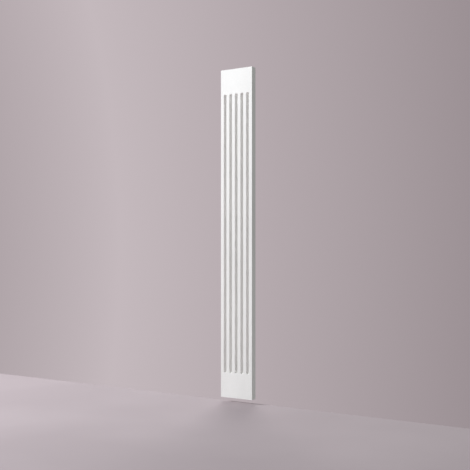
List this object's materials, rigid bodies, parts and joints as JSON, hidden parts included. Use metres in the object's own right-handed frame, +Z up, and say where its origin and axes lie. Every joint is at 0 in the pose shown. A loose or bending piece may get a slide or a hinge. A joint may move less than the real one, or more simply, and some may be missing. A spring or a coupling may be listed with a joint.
{
  "type": "vertical radiator with concealed valve",
  "caption": "Tall slim white wall radiator: a fluted mineral slab with plain ends, a hidden copper register, a concealed thermostatic valve block and hook-on wall rails.",
  "frame": {"origin": "the middle of the upper wall rail's back face, on the wall", "axes": "+Z up the slab, -Y out of the wall towards the room, +X to the right seen from the room"},
  "size_m": [0.228, 0.102, 2],
  "materials": {
    "cast_mineral": "satin",
    "galvanised_steel": "satin",
    "powder_coated_steel": "satin",
    "zinc_screw": "satin",
    "stainless_steel": "satin",
    "copper": "satin",
    "aluminium": "satin",
    "brass": "satin",
    "nickel_plated_brass": "satin",
    "white_plastic": "satin",
    "grey_nylon": "matte",
    "black_rubber": "matte"
  },
  "bodies": {
    "radiator": {"back_plate": "galvanised_steel", "back_plate_screw_1": "zinc_screw", "back_plate_screw_2": "zinc_screw", "back_plate_screw_3": "zinc_screw", "back_plate_screw_4": "zinc_screw", "back_plate_screw_5": "zinc_screw", "back_plate_screw_6": "zinc_screw", "flow_header": "copper", "flow_tail": "copper", "flow_union_nut": "nickel_plated_brass", "front_slab": "cast_mineral", "hanger_plate_1": "galvanised_steel", "hanger_plate_2": "galvanised_steel", "hanger_plate_3": "galvanised_steel", "hanger_plate_4": "galvanised_steel", "hanger_screw_1": "zinc_screw", "hanger_screw_2": "zinc_screw", "hanger_screw_3": "zinc_screw", "hanger_screw_4": "zinc_screw", "hanger_screw_5": "zinc_screw", "hanger_screw_6": "zinc_screw", "hanger_screw_7": "zinc_screw", "hanger_screw_8": "zinc_screw", "head_nut": "nickel_plated_brass", "header_plug": "copper", "heat_channel_1": "aluminium", "heat_channel_2": "aluminium", "heat_channel_3": "aluminium", "heat_channel_4": "aluminium", "lower_wall_rail": "powder_coated_steel", "return_header": "copper", "return_tail": "copper", "return_union_nut": "nickel_plated_brass", "riser_1": "copper", "riser_2": "copper", "riser_3": "copper", "riser_4": "copper", "top_header": "copper", "upper_wall_rail": "powder_coated_steel", "valve_block": "nickel_plated_brass", "valve_insert": "nickel_plated_brass", "vent_bush": "brass", "wall_buffer_left": "black_rubber", "wall_buffer_right": "black_rubber", "wall_plug_1": "grey_nylon", "wall_plug_2": "grey_nylon", "wall_plug_3": "grey_nylon", "wall_plug_4": "grey_nylon", "wall_screw_1": "zinc_screw", "wall_screw_2": "zinc_screw", "wall_screw_3": "zinc_screw", "wall_screw_4": "zinc_screw"},
    "thermostatic_head": {"thermostatic_head": "white_plastic"},
    "valve_stem": {"valve_stem": "stainless_steel"},
    "flow_shutoff": {"flow_shutoff_spindle": "brass"},
    "return_shutoff": {"return_shutoff_spindle": "brass"},
    "bleed_screw": {"bleed_screw": "nickel_plated_brass"}
  },
  "joints": [
    {"name": "thermostatic_head_turn", "type": "hinge", "parent": "radiator", "child": "thermostatic_head", "pos_m": [-0.09, -0.0195, -1.9], "axis": [-1, 0, 0], "range_deg": [0, 300]},
    {"name": "valve_stem_lift", "type": "slide", "parent": "radiator", "child": "valve_stem", "axis": [-1, 0, 0], "range_m": [0, 0.003]},
    {"name": "flow_shutoff_turn", "type": "hinge", "parent": "radiator", "child": "flow_shutoff", "pos_m": [-0.025, -0.0195, -1.913], "axis": [0, 0, -1], "range_deg": [0, 90]},
    {"name": "return_shutoff_turn", "type": "hinge", "parent": "radiator", "child": "return_shutoff", "pos_m": [0.025, -0.0195, -1.913], "axis": [0, 0, -1], "range_deg": [0, 90]},
    {"name": "bleed_screw_turn", "type": "hinge", "parent": "radiator", "child": "bleed_screw", "pos_m": [-0.095, -0.0195, -0.065], "axis": [-1, 0, 0], "range_deg": [0, 360]}
  ],
  "couplings": [
    {"joint": "valve_stem_lift", "follows": "thermostatic_head_turn", "m_per_rad": 0.00057296}
  ]
}
